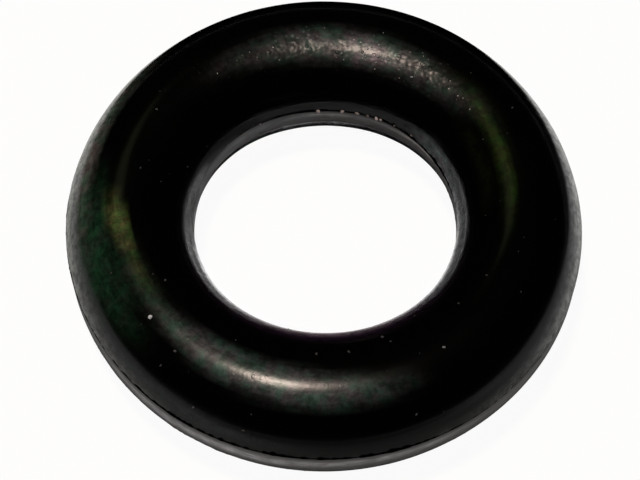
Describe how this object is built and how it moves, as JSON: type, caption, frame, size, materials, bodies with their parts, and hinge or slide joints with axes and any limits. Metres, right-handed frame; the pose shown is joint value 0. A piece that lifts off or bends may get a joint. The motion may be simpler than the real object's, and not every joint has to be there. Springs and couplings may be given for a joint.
{
  "type": "o-ring",
  "caption": "Moulded black rubber O-ring with a thick round section and narrow trimmed parting flats around its inner and outer edge.",
  "frame": {"origin": "centre of the ring, on its axis at mid thickness", "axes": "+Z along the ring's axis, up when it lies flat; X and Y lie in the ring's plane"},
  "size_m": [0.014, 0.014, 0.0034],
  "materials": {
    "rubber": "satin moulded black rubber, matte where the flash was trimmed off"
  },
  "bodies": {
    "root": {"o_ring": "rubber"}
  },
  "joints": []
}
